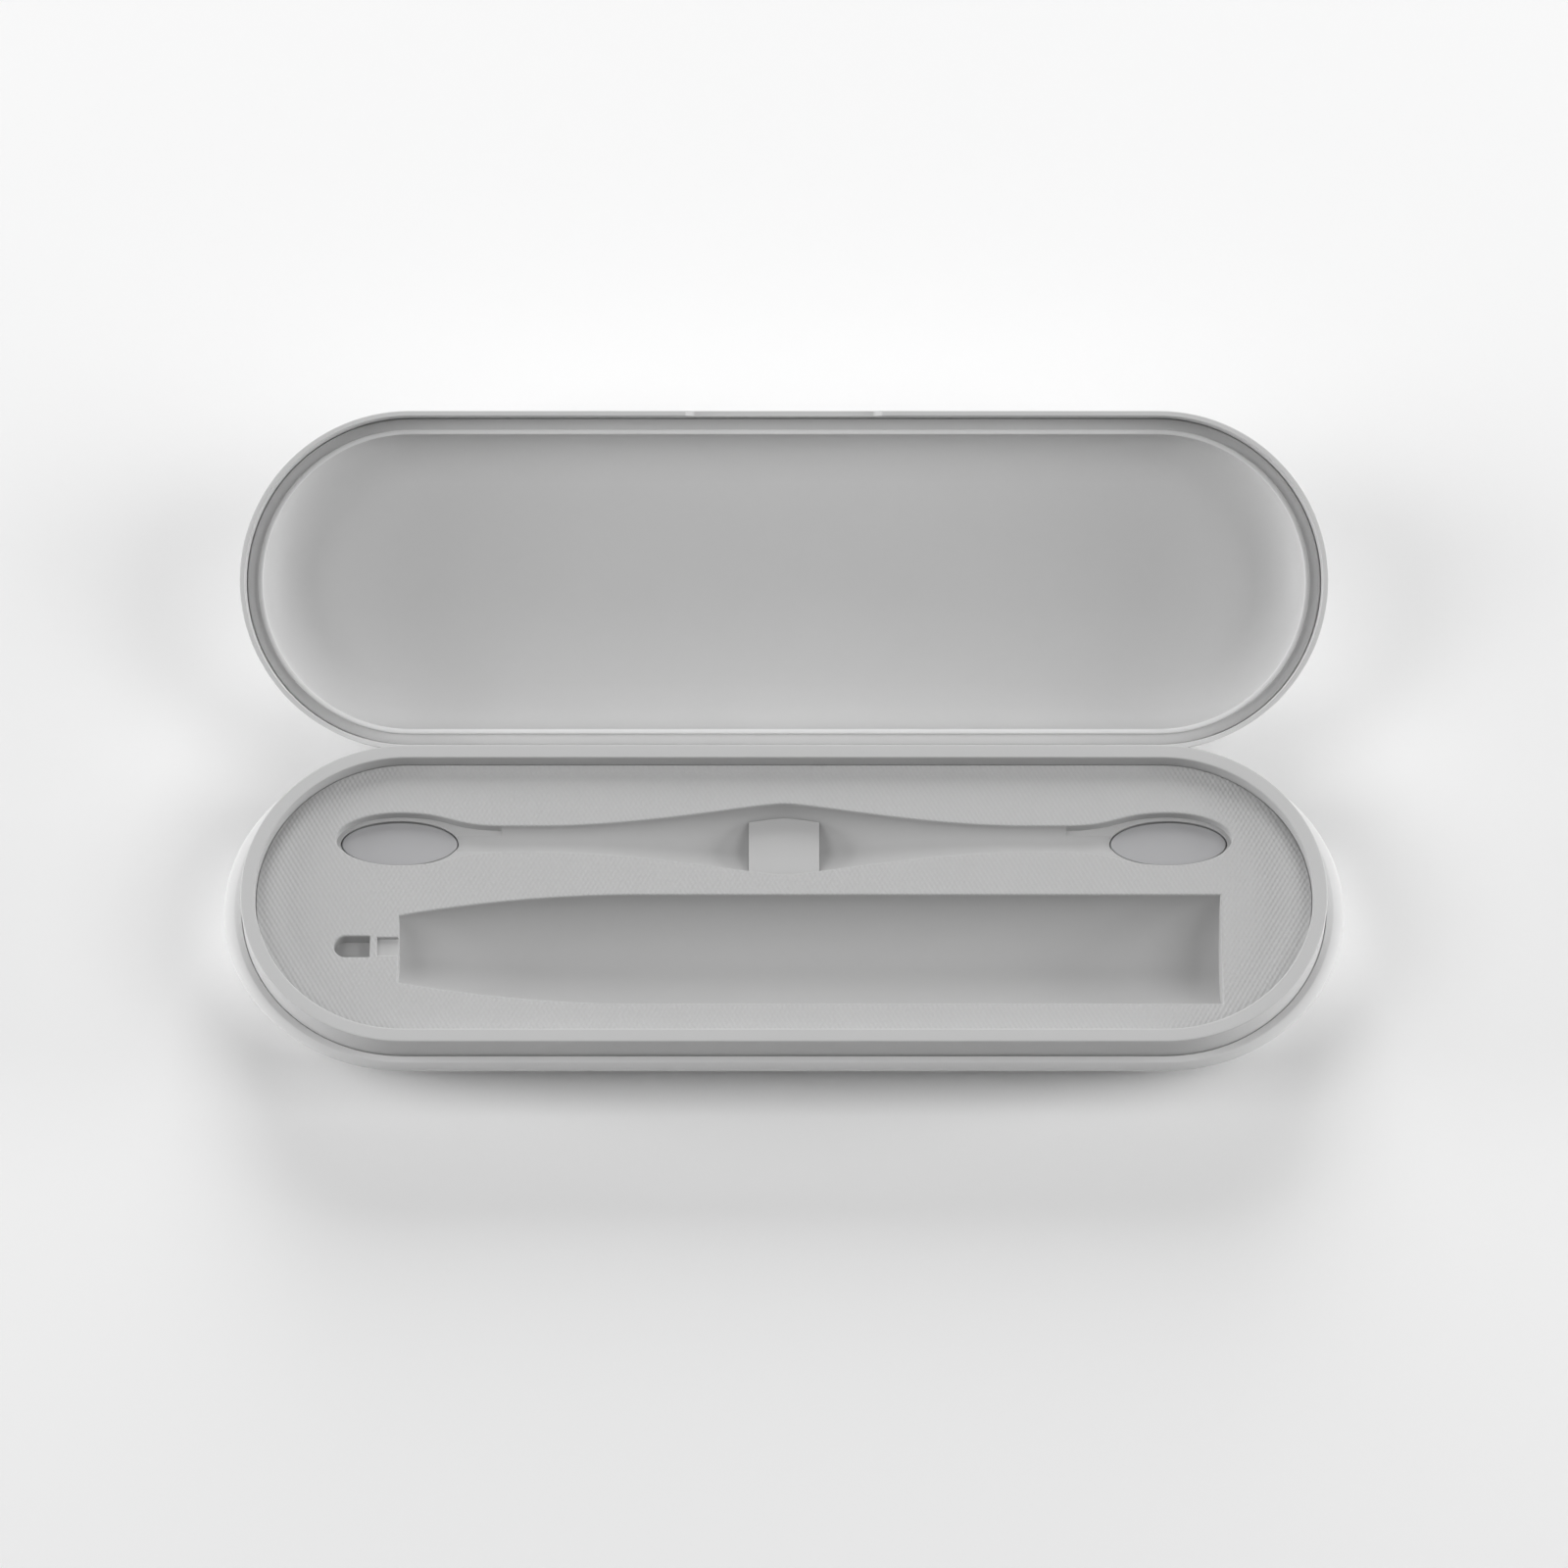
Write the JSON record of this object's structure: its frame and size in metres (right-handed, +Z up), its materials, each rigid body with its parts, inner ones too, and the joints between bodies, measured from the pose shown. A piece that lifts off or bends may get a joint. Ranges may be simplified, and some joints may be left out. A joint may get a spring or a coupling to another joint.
{
  "type": "toothbrush sanitizer",
  "caption": "Stadium-shaped clamshell travel case with a handle bed, brush-head beds over ultraviolet windows, and a hinged lid lying open.",
  "frame": {"origin": "centre of the resting face of the base pad", "axes": "+X along the case towards its right end, +Y towards the hinge, +Z up"},
  "size_m": [0.2408, 0.1464, 0.0506],
  "materials": {
    "shell": "fine satin moulded texture",
    "collar": "smooth satin",
    "tray": "fine woven diamond texture moulded in",
    "liner": "smooth satin",
    "seal": "soft matte silicone",
    "rubber": "matte silicone",
    "window": "frosted, slightly glossy",
    "board": "solder mask",
    "lamp": "clear dome on white package",
    "steel": "nickel plated",
    "cell": "shrink sleeve",
    "ribbon": "polyimide film"
  },
  "bodies": {
    "base": {"base_shell": "shell", "base_pad": "rubber", "rim_collar": "collar", "base_magnet_left": "steel", "base_magnet_right": "steel", "tray": "tray", "head_divider": "tray", "uv_window_left": "window", "uv_board_left": "board", "uv_lamp_left_outer": "lamp", "uv_lamp_left_inner": "lamp", "uv_window_right": "window", "uv_board_right": "board", "uv_lamp_right_outer": "lamp", "uv_lamp_right_inner": "lamp", "main_board": "board", "lid_sensor": "cell", "battery_cell": "cell", "charge_port": "steel", "lamp_lead_left": "ribbon", "lamp_lead_right": "ribbon", "case_screw_1": "steel", "case_screw_2": "steel", "case_screw_3": "steel", "case_screw_4": "steel", "hinge_leaf_base_left": "shell", "hinge_leaf_base_right": "shell", "hinge_pin_left": "steel", "hinge_pin_right": "steel"},
    "lid": {"lid_shell": "shell", "lid_liner": "liner", "lid_seal": "seal", "lid_magnet_left": "steel", "lid_magnet_right": "steel", "hinge_leaf_lid_left": "shell", "hinge_leaf_lid_right": "shell"}
  },
  "joints": [
    {"name": "lid_hinge", "type": "hinge", "parent": "base", "child": "lid", "pos_m": [0, 0.03705, 0.0195], "axis": [1, 0, 0], "range_deg": [0, 155]}
  ]
}
